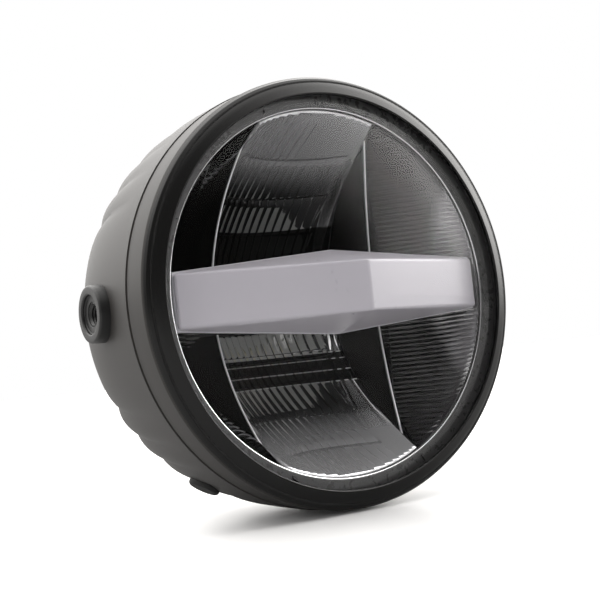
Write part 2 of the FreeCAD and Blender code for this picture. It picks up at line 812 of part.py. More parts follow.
def collect():
    left_wing, right_wing = wing_reflectors()
    board = beam_board()
    pieces = {
        "bezel_ring": bezel_ring(),
        "lens": lens(),
        "lens_gasket": lens_gasket(),
        "trim_ring": trim_ring(),
        "upper_reflector": upper_reflector(),
        "lower_reflector": lower_reflector(),
        "left_wing_reflector": left_wing,
        "right_wing_reflector": right_wing,
        "light_bar_cover": light_bar_cover(),
        "light_bar_tray": light_bar_tray(),
        "light_bar_board": light_bar_board(),
        "light_bar_leds": light_bar_leds(),
        "led_carrier": led_carrier(),
        "carrier_screws": carrier_screws(),
        "low_beam_board": board,
        "high_beam_board": mirrored_z(board),
        "low_beam_leds": beam_leds(low_beam_chips),
        "high_beam_leds": mirrored_z(beam_leds(high_beam_chips)),
        "board_screws": board_screws(),
        "driver_board": driver_board(),
        "driver_parts": driver_parts(),
        "housing_shell": with_foot_seats(housing_shell()),
        "left_side_bush": side_bush(-1),
        "right_side_bush": side_bush(1),
        "rear_cover": rear_cover(),
        "cover_seal": cover_seal(),
        "cover_screws": cover_screws(),
        "cable_grommet": cable_grommet(),
        "vent_cap": vent_cap(),
        "left_rest_foot": rest_foot(-1),
        "right_rest_foot": rest_foot(1),
    }
    pieces.update(dividers())
    return pieces


os.makedirs("parts", exist_ok=True)
for node, shape in collect().items():
    shape.exportStep("parts/" + node + ".step")
    print(node, len(shape.Solids), round(shape.Volume / 1000, 2), shape.isValid())
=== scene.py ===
import math
import bpy
import bmesh
import numpy as np
from mathutils import Matrix, Vector


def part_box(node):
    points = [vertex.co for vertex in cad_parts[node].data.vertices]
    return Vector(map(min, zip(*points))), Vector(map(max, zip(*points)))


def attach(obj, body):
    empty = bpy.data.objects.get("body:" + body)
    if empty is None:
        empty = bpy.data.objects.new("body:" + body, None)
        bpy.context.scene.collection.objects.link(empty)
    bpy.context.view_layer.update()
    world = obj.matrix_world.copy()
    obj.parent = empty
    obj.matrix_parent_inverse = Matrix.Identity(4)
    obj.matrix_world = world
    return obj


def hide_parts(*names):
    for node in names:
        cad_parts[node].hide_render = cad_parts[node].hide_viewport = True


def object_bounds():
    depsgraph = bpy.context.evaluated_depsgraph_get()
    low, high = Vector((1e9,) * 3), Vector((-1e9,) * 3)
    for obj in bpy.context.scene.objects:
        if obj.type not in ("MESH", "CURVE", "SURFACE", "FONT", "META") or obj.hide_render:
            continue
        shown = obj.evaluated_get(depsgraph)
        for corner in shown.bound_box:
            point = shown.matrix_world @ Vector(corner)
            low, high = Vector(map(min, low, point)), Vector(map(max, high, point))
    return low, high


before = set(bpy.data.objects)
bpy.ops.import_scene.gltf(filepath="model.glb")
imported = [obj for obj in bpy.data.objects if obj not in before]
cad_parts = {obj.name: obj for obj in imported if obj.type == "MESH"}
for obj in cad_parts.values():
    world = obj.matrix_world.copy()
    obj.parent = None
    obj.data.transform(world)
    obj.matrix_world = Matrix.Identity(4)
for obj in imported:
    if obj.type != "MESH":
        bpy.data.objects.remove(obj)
cadLow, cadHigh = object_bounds()
print("frame loaded:", len(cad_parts), "nodes")

mm = 0.001
skirtLength = 13.0  # bezel behind its widest circle, in mm
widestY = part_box("bezel_ring")[1].y / mm - skirtLength  # where that circle lies, in mm
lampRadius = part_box("bezel_ring")[1].x / mm
flutePitch = 3.7  # of the middle reflectors, in mm
weldGap = 2e-7  # points closer than this are one, in metres
thinGap = 1e-7  # edges shorter than this are dissolved, in metres


class Signal:
    # one output socket of a material or world; the operators add Math nodes
    def __init__(self, owner, socket):
        self.owner = owner
        self.socket = socket

    def math(self, operation, *others):
        values = {0: self}
        for place, other in enumerate(others):
            values[place + 1] = other
        return self.owner.node("ShaderNodeMath", {"operation": operation}, values)

    def __add__(self, other):
        return self.math("ADD", other)

    __radd__ = __add__

    def __mul__(self, other):
        return self.math("MULTIPLY", other)

    __rmul__ = __mul__

    def __sub__(self, other):
        return self.math("SUBTRACT", other)

    def __rsub__(self, other):
        return self.owner.node("ShaderNodeMath", {"operation": "SUBTRACT"}, {0: other, 1: self})

    def __truediv__(self, other):
        return self.math("DIVIDE", other)

    def __pow__(self, other):
        return self.math("POWER", other)

    def __abs__(self):
        return self.owner.node("ShaderNodeMath", {"operation": "ABSOLUTE"}, {0: self})

    def of(self, output):
        return Signal(self.owner, self.socket.node.outputs[output])


class Finish:
    # node tree of one material, or of the world
    def __init__(self, name, world=False):
        self.name = name
        if world:
            self.block = bpy.data.worlds.new(name)
        else:
            self.block = bpy.data.materials.new(name)
        self.block.use_nodes = True
        self.tree = self.block.node_tree
        self.tree.nodes.clear()

    def node(self, kind, settings=None, sockets=None):
        made = self.tree.nodes.new(kind)
        for key, value in (settings or {}).items():
            if key == "stops":
                self.setStops(made, value)
            else:
                setattr(made, key, value)
        for key, value in (sockets or {}).items():
            self.feed(made.inputs[key], value)
        return Signal(self, made.outputs[0]) if len(made.outputs) else made

    def setStops(self, made, stops):
        ramp = made.color_ramp.elements
        while len(ramp) < len(stops):
            ramp.new(0.5)
        for stop, (place, shade) in zip(ramp, stops):
            stop.position = place
            stop.color = (*shade, 1.0)

    def feed(self, socket, value):
        if isinstance(value, Signal):
            self.tree.links.new(value.socket, socket)
        elif isinstance(value, tuple) and socket.type == "RGBA":
            socket.default_value = (*value, 1.0)
        else:
            socket.default_value = value

    def place(self):
        return self.node("ShaderNodeTexCoord").of("Object")

    def axes(self):
        parts = self.node("ShaderNodeSeparateXYZ", None, {0: self.place()})
        return parts.of("X"), parts.of("Y"), parts.of("Z")

    def noise(self, scale, detail=2.0, rough=0.5):
        values = {"Vector": self.place(), "Scale": scale, "Detail": detail, "Roughness": rough}
        return self.node("ShaderNodeTexNoise", None, values)

    def ramp(self, share, low, high, start=0.0, end=1.0):
        settings = {"interpolation_type": "SMOOTHSTEP", "clamp": True}
        return self.node("ShaderNodeMapRange", settings, {0: share, 1: low, 2: high, 3: start, 4: end})

    def mix(self, share, first, second):
        return self.node("ShaderNodeMix", {"data_type": "RGBA"}, {0: share, 6: first, 7: second}).of(2)

    def bump(self, height, distance):
        return self.node("ShaderNodeBump", None, {"Height": height, "Distance": distance, "Strength": 1.0})

    def shader(self, **values):
        sockets = {key.replace("_", " "): value for key, value in values.items()}
        return self.node("ShaderNodeBsdfPrincipled", None, sockets)

    def show(self, shader):
        forMaterial = isinstance(self.block, bpy.types.Material)
        kind = "ShaderNodeOutputMaterial" if forMaterial else "ShaderNodeOutputWorld"
        self.node(kind, None, {"Surface": shader})
        return self.block


def gridFaces(rows, columns, wrapRows, wrapColumns):
    # four corners of each cell of a grid, numbered row by row
    r = np.arange(rows if wrapRows else rows - 1)
    c = np.arange(columns if wrapColumns else columns - 1)
    r, c = np.meshgrid(r, c, indexing="ij")
    nextR, nextC = (r + 1) % rows, (c + 1) % columns
    corners = [r * columns + c, nextR * columns + c, nextR * columns + nextC, r * columns + nextC]
    return np.stack(corners, axis=-1).reshape(-1, 4)


def meshFrom(name, points, faces, material, sharpDeg=35.0, closed=True, slotName=None):
    # points in mm as an (n, 3) array, faces as equal rows of corner numbers
    mesh = bpy.data.meshes.new(name)
    count, corners = faces.shape
    mesh.vertices.add(len(points))
    mesh.vertices.foreach_set("co", (points * mm).astype(np.float32).ravel())
    mesh.loops.add(count * corners)
    mesh.loops.foreach_set("vertex_index", faces.astype(np.int32).ravel())
    mesh.polygons.add(count)
    mesh.polygons.foreach_set("loop_start", np.arange(0, count * corners, corners, dtype=np.int32))
    mesh.update(calc_edges=True)
    mesh.validate()
    work = bmesh.new()
    work.from_mesh(mesh)
    bmesh.ops.remove_doubles(work, verts=work.verts, dist=weldGap)
    bmesh.ops.dissolve_degenerate(work, edges=work.edges, dist=thinGap)
    if closed:
        bmesh.ops.recalc_face_normals(work, faces=work.faces)
    work.to_mesh(mesh)
    work.free()
    mesh.polygons.foreach_set("use_smooth", np.ones(len(mesh.polygons), dtype=bool))
    mesh.set_sharp_from_angle(angle=math.radians(sharpDeg))
    mesh.materials.append(material)
    piece = bpy.data.objects.new(name, mesh)
    bpy.context.scene.collection.objects.link(piece)
    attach(piece, "root")
    return piece


def gridPiece(name, x, y, z, material, wrapRows=False, wrapColumns=False, **options):
    # surface over a grid of x, y and z in mm, which broadcast to one shape; y counts from the widest circle
    x, y, z = np.broadcast_arrays(x, y, z)
    points = np.stack([x, y + widestY, z], axis=-1)
    faces = gridFaces(x.shape[0], x.shape[1], wrapRows, wrapColumns)
    return meshFrom(name, points.reshape(-1, 3), faces, material, **options)


def roundedProfile(corners, steps=6):
    # closed outline of straight runs with arcs at the corners; each corner is (radius, behind, rounding)
    spots = np.array([corner[:2] for corner in corners], float)
    made = []
    for index, spot in enumerate(spots):
        rounding = corners[index][2]
        toward = spots[index - 1] - spot
        onward = spots[(index + 1) % len(spots)] - spot
        toward /= np.linalg.norm(toward)
        onward /= np.linalg.norm(onward)
        if rounding == 0:
            made.append(spot[None])
            continue
        halfAngle = math.acos(np.clip(toward @ onward, -1, 1)) / 2
        reach = rounding / math.tan(halfAngle)
        middle = toward + onward
        centre = spot + middle / np.linalg.norm(middle) * rounding / math.sin(halfAngle)
        first, last = spot + toward * reach - centre, spot + onward * reach - centre
        share = np.linspace(0, 1, steps)[:, None]
        blend = first * (1 - share) + last * share
        made.append(centre + blend / np.linalg.norm(blend, axis=1, keepdims=True) * rounding)
    return np.concatenate(made)


def turnedPiece(name, profile, material, segments=256, **options):
    # outline carried once round the lamp axis: x = r cos(a), z = r sin(a)
    angle = np.linspace(0, 2 * np.pi, segments, endpoint=False)[:, None]
    radius, behind = profile[:, 0][None], profile[:, 1][None]
    return gridPiece(name, radius * np.cos(angle), behind + 0 * angle, radius * np.sin(angle), material,
                     wrapRows=True, wrapColumns=True, **options)


def grained(name, shade, rough, grainScale, grainHeight):
    # matte moulding or powder coat: fine grain, slow colour drift and a slightly rubbed look
    finish = Finish(name)
    slow = finish.noise(18.0, 3.0, 0.55)
    grain = finish.noise(grainScale, 2.0, 0.6)
    fine = finish.noise(grainScale * 2.3, 1.0, 0.5)
    dark = tuple(part * 0.82 for part in shade)
    light = tuple(part * 1.2 for part in shade)
    colour = finish.mix(slow * 0.6 + grain * 0.4, dark, light)
    roughness = rough + (slow - 0.5) * 0.06 + (grain - 0.5) * 0.08
    normal = finish.bump(grain * 0.7 + fine * 0.3, grainHeight)
    return finish.show(finish.shader(Base_Color=colour, Roughness=roughness, Normal=normal))


def smooth(name, shade, rough, drift=0.05, metallic=0.0):
    # smooth moulding or plating: no grain, only slow drift in colour and gloss with faint handling marks
    finish = Finish(name)
    slow = finish.noise(26.0, 3.0, 0.5)
    marks = finish.noise(340.0, 2.0, 0.6)
    dark = tuple(part * (1 - drift) for part in shade)
    light = tuple(min(1.0, part * (1 + drift)) for part in shade)
    colour = finish.mix(slow, dark, light)
    roughness = rough + (slow - 0.5) * rough * 0.3 + (marks - 0.5) * rough * 0.25
    normal = finish.bump(marks, 0.00001)
    return finish.show(finish.shader(Base_Color=colour, Roughness=roughness, Metallic=metallic,
                                     Normal=normal))


def paintedShadeStops(bands, ledges, halfLedge=0.22):
    # stops over height for a ramp: each band (from, to, level) is an even painted shade, with a painted
    # highlight at each ledge
    stops = []
    for low, high, level in bands:
        start = low + halfLedge if low in ledges else low
        end = high - halfLedge if high in ledges else high
        stops += [(start, level), (end, level)]
        if high in ledges:
            stops += [(high - halfLedge * 0.6, 1.0), (high + halfLedge * 0.6, 1.0)]
    return [(height / lampRadius, (level,) * 3) for height, level in stops]


# mirrorCoat settings: column keys give the painted shade of a wing's inner column, dot keys the painted
# highlight dots at the ledges, satin and rough keys the duller, rougher bottom band
reflective = {"columnFade": 2.5, "columnPaintedShade": 0.22, "dotRough": 0.4, "dotDull": 0.85, "satinFrom": 46.0,
              "satinTo": 58.0, "satinMetal": 0.72, "roughFrom": 45.0, "roughTo": 62.0, "roughMore": 0.16}


def mirrorCoat(name, shade=0.86, rough=0.05, bands=None, ledges=(), column=None):
    # vacuum-metallised plastic with a very slight orange peel; each band of heights has its own painted
    # shade, a ledge has a painted highlight dot on each flute, and a wing has painted shade where x is under
    # its column, in mm
    finish = Finish(name)
    peel = finish.noise(420.0, 2.0, 0.5)
    slow = finish.noise(35.0, 2.0, 0.5)
    colour = finish.mix(slow, (shade * 0.94,) * 3, (shade, shade, shade * 1.01))
    metallic = 1.0
    if column:
        # painted shade: the base colour is darker under the wing's inner column
        fade, inner = reflective["columnFade"], (shade * reflective["columnPaintedShade"],) * 3
        aside = abs(finish.axes()[0]) / mm
        colour = finish.mix(finish.ramp(aside, column - fade, column + fade), inner, colour)
    if bands:
        height = abs(finish.axes()[2]) / (lampRadius * mm)
        # painted shade: the base colour of each band is darkened by its level
        paintedBandShade = finish.node("ShaderNodeValToRGB", {"stops": paintedShadeStops(bands, ledges)}, {0: height})
        colour = finish.node("ShaderNodeMix", {"data_type": "RGBA", "blend_type": "MULTIPLY"},
                             {0: 1.0, 6: colour, 7: paintedBandShade}).of(2)
        unlit = [(low, high, 0.0) for low, high, level in bands]
        # painted highlight: a bright line at each ledge, cut into a dot on each flute; metallic drops there
        # so the bright base colour shows
        ledgeHighlight = finish.node("ShaderNodeValToRGB", {"stops": paintedShadeStops(unlit, ledges)}, {0: height})
        turn = finish.axes()[0] / (flutePitch * mm)
        across = finish.node("ShaderNodeMath", {"operation": "FRACT"}, {0: turn})
        highlightDots = ledgeHighlight * finish.ramp((across - 0.5) * (across - 0.5), 0.09, 0.03)
        worn = finish.ramp(height, reflective["roughFrom"] / lampRadius, reflective["roughTo"] / lampRadius)
        satin = finish.ramp(height, reflective["satinFrom"] / lampRadius, reflective["satinTo"] / lampRadius,
                            1.0, reflective["satinMetal"])
        rough = rough + highlightDots * reflective["dotRough"] + worn * reflective["roughMore"]
        metallic = (1.0 - highlightDots * reflective["dotDull"]) * satin
    normal = finish.bump(peel, 0.000012)
    return finish.show(finish.shader(Base_Color=colour, Roughness=rough + slow * 0.03, Metallic=metallic,
                                     Normal=normal))


def clearLens(name):
    # clear cover: lets light straight through and mirrors more at grazing angles, alike from both sides
    finish = Finish(name)
    haze = finish.noise(30.0, 3.0, 0.6)
    facing = finish.node("ShaderNodeLayerWeight", None, {"Blend": 0.5}).of("Facing")
    share = (facing ** 7.0) * 0.5 + 0.004 + haze * 0.004
    through = finish.node("ShaderNodeBsdfTransparent", None, {"Color": (0.985, 0.985, 0.99)})
    gloss = finish.node("ShaderNodeBsdfGlossy", None, {"Color": (1.0, 1.0, 1.0), "Roughness": 0.05})
    both = finish.node("ShaderNodeMixShader", None, {0: share, 1: through, 2: gloss})
    return finish.show(both)


def paintedWallShade(name):
    # satin metallising with painted shade: dark on the faces, with a painted highlight only along the front
    # edge; the "edge" attribute is 1 there
    finish = Finish(name)
    slow = finish.noise(60.0, 3.0, 0.5)
    edge = finish.node("ShaderNodeAttribute", {"attribute_name": "edge"}).of("Fac")
    # painted shade: dark base colour on the faces
    dark = finish.mix(slow, (0.045,) * 3, (0.075,) * 3)
    # painted highlight: near-white base colour along the edge, with metallic lowered
    colour = finish.mix(edge, dark, (0.9,) * 3)
    roughness = 0.2 + slow * 0.1 + edge * 0.2
    return finish.show(finish.shader(Base_Color=colour, Roughness=roughness, Metallic=1.0 - edge * 0.7,
                                     Normal=finish.bump(slow, 0.00003)))


def bezelPaint(name):
    # fine black coat on the face; behind the widest circle it turns into the housing's rougher, browner skin
    finish = Finish(name)
    slow = finish.noise(18.0, 3.0, 0.55)
    grain = finish.noise(2400.0, 2.0, 0.6)
    skirt = finish.ramp(finish.axes()[1], (widestY - 0.6) * mm, (widestY + 1.0) * mm)
    face = finish.mix(slow, (0.003, 0.003, 0.003), (0.0045, 0.0043, 0.0042))
    side = finish.mix(slow * 0.6 + grain * 0.4, (0.028, 0.0262, 0.0248), (0.041, 0.0382, 0.036))
    roughness = 0.24 + skirt * 0.26 + (slow - 0.5) * 0.05 + (grain - 0.5) * 0.06
    return finish.show(finish.shader(Base_Color=finish.mix(skirt, face, side), Roughness=roughness,
                                     Normal=finish.bump(grain, 0.00003), Specular_IOR_Level=0.32))


bezelCoat = bezelPaint("bezelCoat")
housingSkin = grained("housingSkin", (0.036, 0.0335, 0.0315), 0.5, 2200.0, 0.00005)
coverSkin = grained("coverSkin", (0.026, 0.025, 0.024), 0.55, 1800.0, 0.00006)
bushCoat = grained("bushCoat", (0.009, 0.009, 0.009), 0.42, 1500.0, 0.00003)
softRubber = grained("softRubber", (0.018, 0.018, 0.018), 0.7, 900.0, 0.00006)
trimDark = smooth("trimDark", (0.045, 0.045, 0.044), 0.28)
# painted shade of each band of the middle reflectors: from height, to height in mm, level
upperPaintedShade = [(12, 33, 0.03), (33, 45, 0.7), (45, 58, 0.85), (58, 74, 0.9)]
lowerPaintedShade = [(12, 23, 1.0), (23, 26, 0.03), (26, 31, 0.02), (31, 36, 0.03), (36, 49, 0.75), (49, 62, 1.0),
               (62, 74, 1.0)]
# the wings have painted shade under their inner column, out to 61 mm
wingMirror = mirrorCoat("wingMirror", 0.34, 0.07, column=61.0)
upperMirror = mirrorCoat("upperMirror", 0.88, 0.05, upperPaintedShade)
lowerMirror = mirrorCoat("lowerMirror", 0.9, 0.05, lowerPaintedShade, ledges=(23, 26, 31, 36))
beadFinish = mirrorCoat("beadFinish", 0.8, 0.14)
opalFinish = smooth("opalFinish", (0.42, 0.403, 0.435), 0.3, 0.03)
trayFinish = smooth("trayFinish", (0.6, 0.59, 0.62), 0.4)
boardWhite = smooth("boardWhite", (0.72, 0.73, 0.7), 0.35)
chipFinish = smooth("chipFinish", (0.86, 0.82, 0.62), 0.3)
carrierFinish = smooth("carrierFinish", (0.02, 0.02, 0.021), 0.35, 0.1)
zincFinish = smooth("zincFinish", (0.6, 0.6, 0.58), 0.3, 0.06, 1.0)
blackSteel = smooth("blackSteel", (0.06, 0.06, 0.06), 0.32, 0.1, 1.0)
boardGreen = smooth("boardGreen", (0.03, 0.16, 0.06), 0.35)
partBlack = smooth("partBlack", (0.03, 0.03, 0.03), 0.5)
wallShadeAndHighlight = paintedWallShade("wallShadeAndHighlight")
lensFinish = clearLens("lensFinish")
print("finishes ready")

# nodes that show their CAD mesh
nodeFinishes = {
    "lens_gasket": softRubber, "light_bar_tray": trayFinish, "light_bar_board": boardWhite,
    "light_bar_leds": chipFinish, "led_carrier": carrierFinish, "carrier_screws": zincFinish,
    "low_beam_board": boardWhite, "high_beam_board": boardWhite, "low_beam_leds": chipFinish,
    "high_beam_leds": chipFinish, "board_screws": zincFinish, "driver_board": boardGreen,
    "driver_parts": partBlack, "left_rest_foot": softRubber, "right_rest_foot": softRubber,
    "rear_cover": coverSkin, "cover_seal": softRubber, "cover_screws": blackSteel,
    "cable_grommet": softRubber, "vent_cap": coverSkin,
}
for node, finish in nodeFinishes.items():
    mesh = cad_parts[node].data
    mesh.materials.clear()
    mesh.materials.append(finish)


bezel = {"lip": 77.0, "lipAhead": 4.2, "lipBack": -2.3, "wall": 2.2, "edgeIn": 1.2, "edgeAhead": 1.2,
         "edgeRound": 0.9, "crown": 0.2, "crownRound": 9.0, "taper": 0.12}


def makeBezel():
    # outline: lip, gently crowned front slope, rounded outer edge, skirt and the inner wall
    outer, lip = lampRadius, bezel["lip"]
    inner = outer - bezel["wall"]
    front = -bezel["lipAhead"]
    middle, edgeRound = (lip + outer) / 2, bezel["edgeRound"]
    crown = (front - bezel["edgeAhead"]) / 2 - bezel["crown"]
    corners = [(lip, bezel["lipBack"], 0.25), (lip, front, 0.6), (middle, crown, bezel["crownRound"]),
               (outer - bezel["edgeIn"], -bezel["edgeAhead"], edgeRound),
               (outer - bezel["taper"], edgeRound, edgeRound),
               (outer, skirtLength, 0.3), (inner, skirtLength, 0.2), (inner, bezel["lipBack"], 0)]
    piece = turnedPiece("bezelRing", roundedProfile(corners, 8), bezelCoat, 320, slotName="bezel_black")
    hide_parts("bezel_ring")


makeBezel()


lensShape = {"foot": 75.6, "crown": 23.5, "wall": 2.6, "flangeRadius": 82.4, "flangeFront": -2.3,
             "flange": 2.3}


def makeLens():
    # closed outline of two spherical arcs, joined at the flange; the crown is each arc's height over its foot
    foot, flange, wall = lensShape["foot"], lensShape["flange"], lensShape["wall"]
    front, crown = lensShape["flangeFront"], lensShape["crown"]
    back = front + flange
    innerFoot = foot - wall
    innerCrown = crown - wall + flange
    outerBall = (foot ** 2 + crown ** 2) / (2 * crown)
    innerBall = (innerFoot ** 2 + innerCrown ** 2) / (2 * innerCrown)
    outerRadius = foot * np.sin(np.linspace(0, np.pi / 2, 60))
    innerRadius = innerFoot * np.sin(np.linspace(np.pi / 2, 0, 60))
    outerBehind = front - crown + outerBall - np.sqrt(outerBall ** 2 - outerRadius ** 2)
    innerBehind = back - innerCrown + innerBall - np.sqrt(innerBall ** 2 - innerRadius ** 2)
    rim = np.array([(lensShape["flangeRadius"], front), (lensShape["flangeRadius"], back)])
    outside, inside = np.stack([outerRadius, outerBehind], 1), np.stack([innerRadius, innerBehind], 1)
    profile = np.concatenate([outside, rim, inside])
    angle = np.linspace(0, 2 * np.pi, 256, endpoint=False)[:, None]
    piece = gridPiece("clearLens", profile[:, 0] * np.cos(angle), profile[:, 1] + 0 * angle,
                      profile[:, 0] * np.sin(angle), lensFinish, wrapRows=True, slotName="clear_lens")
    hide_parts("lens")


makeLens()


trim = {"opening": 73.0, "front": 1.6, "step": 4.0, "collarBehind": 5.8, "collarWall": 2.0, "bead": 0.5,
        "beadIn": 0.1, "beadBehind": 0.9, "outer": 82.4}


def makeTrim():
    # dark flange under the lens, a short collar round the reflectors, and a bright bead at its mouth
    opening, front, step = trim["opening"], trim["front"], trim["step"]
    collar = opening + trim["collarWall"]
    corners = [(opening, front, 0.5), (trim["outer"], front, 0.2), (trim["outer"], step, 0.2),
               (collar + 0.4, step, 0.3), (collar, trim["collarBehind"], 0.2),
               (opening, trim["collarBehind"], 0)]
    piece = turnedPiece("trimRing", roundedProfile(corners, 5), trimDark, 256, slotName="trim_black")
    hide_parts("trim_ring")
    turn = np.linspace(0, 2 * np.pi, 12, endpoint=False)
    beadRadius = opening + trim["beadIn"] + trim["bead"] * np.cos(turn)
    outline = np.stack([beadRadius, front + trim["beadBehind"] + trim["bead"] * np.sin(turn)], 1)
    turnedPiece("trimBead", outline, beadFinish, 256, slotName="trim_black")


makeTrim()


wallLine = {"midX": 40.0, "topX": 28.0, "bottomX": 31.0, "reach": 66.0, "overrun": 12.0, "edge": 0.9,
            "draft": 0.03, "midBehind": 33.0, "hollow": 22.0, "brightEdge": 0.8, "rimGap": 0.4, "setIn": 0.16,
            "sunk": 0.8, "deepest": 6.0, "least": 1.2}
bowl = {"rim": 73.0, "rimBehind": 4.0, "focus": 16.44, "wingFocus": 20.66, "slot": 12.0, "skin": 1.4,
        "marginDeep": 4.0, "marginFade": 14.0}


def wallX(z):
    # bowed line of the dividers: the circle through its top, middle and bottom points
    reach = wallLine["reach"] + wallLine["overrun"]
    stretch = (reach / wallLine["reach"]) ** 2
    top = wallLine["midX"] - (wallLine["midX"] - wallLine["topX"]) * stretch
    bottom = wallLine["midX"] - (wallLine["midX"] - wallLine["bottomX"]) * stretch
    spots = np.array([[top, reach], [wallLine["midX"], 0.0], [bottom, -reach]])
    left = 2 * (spots[1:] - spots[0])
    right = (spots[1:] ** 2).sum(1) - (spots[0] ** 2).sum()
    centre = np.linalg.solve(left, right)
    ball = np.linalg.norm(spots[0] - centre)
    return centre[0] + np.sqrt(ball ** 2 - (z - centre[1]) ** 2)


def wallFront(z):
    # hollow front edge: furthest back at mid height
    return wallLine["midBehind"] - wallLine["hollow"] * (z / wallLine["reach"]) ** 2


def innerX(z, behind):
    # a wall's inner face, which comes nearer the axis as it goes back
    return wallX(z) - wallLine["edge"] - np.maximum(behind - wallFront(z), 0) * wallLine["draft"]


def fluteEnd(z):
    # the flutes stop short of the walls, along a slanting line, and leave a smooth margin
    upper = flutes["upperEnd"] - flutes["upperSlant"] * np.abs(z)
    lower = flutes["lowerEnd"] - flutes["lowerSlant"] * np.abs(z)
    return np.where(z > 0, upper, lower)


def bowlBehind(x, z, focus):
    # parabola that meets the rim circle
    return bowl["rimBehind"] + (bowl["rim"] ** 2 - x ** 2 - z ** 2) / (4 * focus)


flutes = {"pitch": flutePitch, "upperBow": 0.34, "lowerBow": 0.42, "samples": 8, "upperEnd": 28.5,
          "upperSlant": 0.05, "lowerEnd": 36.0, "lowerSlant": 0.22, "rimFade": 1.5}
# each band of the middle reflectors: from z, to z, tilt, ledge it starts with
upperBands = [(12.0, 33.0, 0.0, 0.0), (33.0, 45.0, 0.0, 0.15), (45.0, 58.0, 0.0, 0.12),
              (58.0, 73.4, 0.0, 0.08)]
lowerBands = [(-12.0, -23.0, 0.0, 0.0), (-23.0, -26.0, 0.1, 0.4), (-26.0, -31.0, 0.1, 0.4),
              (-31.0, -36.0, 0.1, 0.4), (-36.0, -49.0, 0.0, 0.4), (-49.0, -62.0, 0.0, 0.15),
              (-62.0, -73.4, 0.0, 0.12)]


def bandRows(bands, perMm=1.2):
    # heights of a grid's rows, doubled where a band ends, and each row's own shift from tilt and ledge
    heights, shifts = [], []
    for low, high, tilt, ledge in bands:
        rows = np.linspace(low, high, max(5, int(abs(high - low) * perMm)))
        heights.append(rows)
        shifts.append(tilt * np.abs(rows - low) - ledge * 0.5)
    return np.concatenate(heights)[:, None], np.concatenate(shifts)[:, None]


def withinRim(x, z):
    # heights pulled in to the rim circle
    return np.sign(z) * np.minimum(np.abs(z), np.sqrt(bowl["rim"] ** 2 - np.minimum(np.abs(x), 60) ** 2))


def makeMiddle(name, bands, finish, node):
    # parabola plus upright convex flutes, cut by ledges where each band starts, with a smooth sunken margin
    z, shift = bandRows(bands)
    count = int(np.ceil(wallLine["midX"] / flutes["pitch"])) * flutes["samples"]
    x = np.arange(-count, count + 1)[None] * flutes["pitch"] / flutes["samples"]
    x, z = np.broadcast_arrays(x, z)
    z = withinRim(x, z)
    deep = bowlBehind(x, z, bowl["focus"]) + bowl["marginDeep"]
    x = np.sign(x) * np.minimum(np.abs(x), innerX(z, deep))
    z = withinRim(x, z)
    across = (x / flutes["pitch"]) % 1.0
    bow = flutes["upperBow"] if z.mean() > 0 else flutes["lowerBow"]
    bulge = bow * (1 - (2 * across - 1) ** 2)
    margin = np.clip((np.abs(x) - fluteEnd(z)) / (innerX(z, deep) - fluteEnd(z)), 0, 1)
    sunk = bowl["marginDeep"] * margin * margin * (3 - 2 * margin)
    inside = bowl["rim"] - np.hypot(x, z)
    fade = np.clip(inside / flutes["rimFade"], 0, 1)
    sunk = sunk * np.clip(inside / bowl["marginFade"], 0, 1)
    y = bowlBehind(x, z, bowl["focus"]) + sunk + ((shift - bulge) * (margin <= 0)) * fade
    piece = gridPiece(name, x, y, z, finish, closed=False, sharpDeg=14.0, slotName="reflector_metallised")
    if z.mean() < 0:
        piece.data.flip_normals()
    addSkin(piece, bowl["skin"])
    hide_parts(node)


def addSkin(piece, thickness):
    skin = piece.modifiers.new("skin", "SOLIDIFY")
    skin.thickness = thickness * mm
    skin.offset = -1.0


makeMiddle("upperReflector", upperBands, upperMirror, "upper_reflector")
makeMiddle("lowerReflector", lowerBands, lowerMirror, "lower_reflector")

ribs = {"pitch": 1.95, "bow": 0.27, "samples": 8, "top": 70.5, "column": 15.5, "columnBow": 0.45,
        "widest": 35.0, "underWall": 0.3, "rimFade": 1.5}


def makeWing(name, side, node):
    # shallower parabola with fine level ribs, over broad upright columns that follow the wall's bowed line
    count = int(ribs["top"] / ribs["pitch"]) * ribs["samples"]
    z = np.arange(-count, count + 1)[:, None] * ribs["pitch"] / ribs["samples"]
    near = wallX(z) - ribs["underWall"]
    far = np.maximum(np.sqrt(bowl["rim"] ** 2 - z ** 2), near + 0.05)
    inside, beyond = np.linspace(0, ribs["column"], 26), np.linspace(ribs["column"], ribs["widest"], 34)
    reach = np.concatenate([inside, beyond])[None]
    x = np.minimum(near + reach, far)
    along = (z / ribs["pitch"]) % 1.0
    rib = ribs["bow"] * (1 - (2 * along - 1) ** 2)
    column = (np.broadcast_to(reach, x.shape) / ribs["column"]) % 1.0
    swell = ribs["columnBow"] * (1 - (2 * column - 1) ** 2)
    fade = np.clip((bowl["rim"] - np.hypot(x, z)) / ribs["rimFade"], 0, 1)
    y = bowlBehind(x, z, bowl["wingFocus"]) - (rib + swell) * fade
    piece = gridPiece(name, side * x, y, z, wingMirror, closed=False, sharpDeg=14.0,
                      slotName="reflector_metallised")
    if side > 0:
        piece.data.flip_normals()
    addSkin(piece, bowl["skin"])
    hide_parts(node)


makeWing("leftWing", -1, "left_wing_reflector")
makeWing("rightWing", 1, "right_wing_reflector")


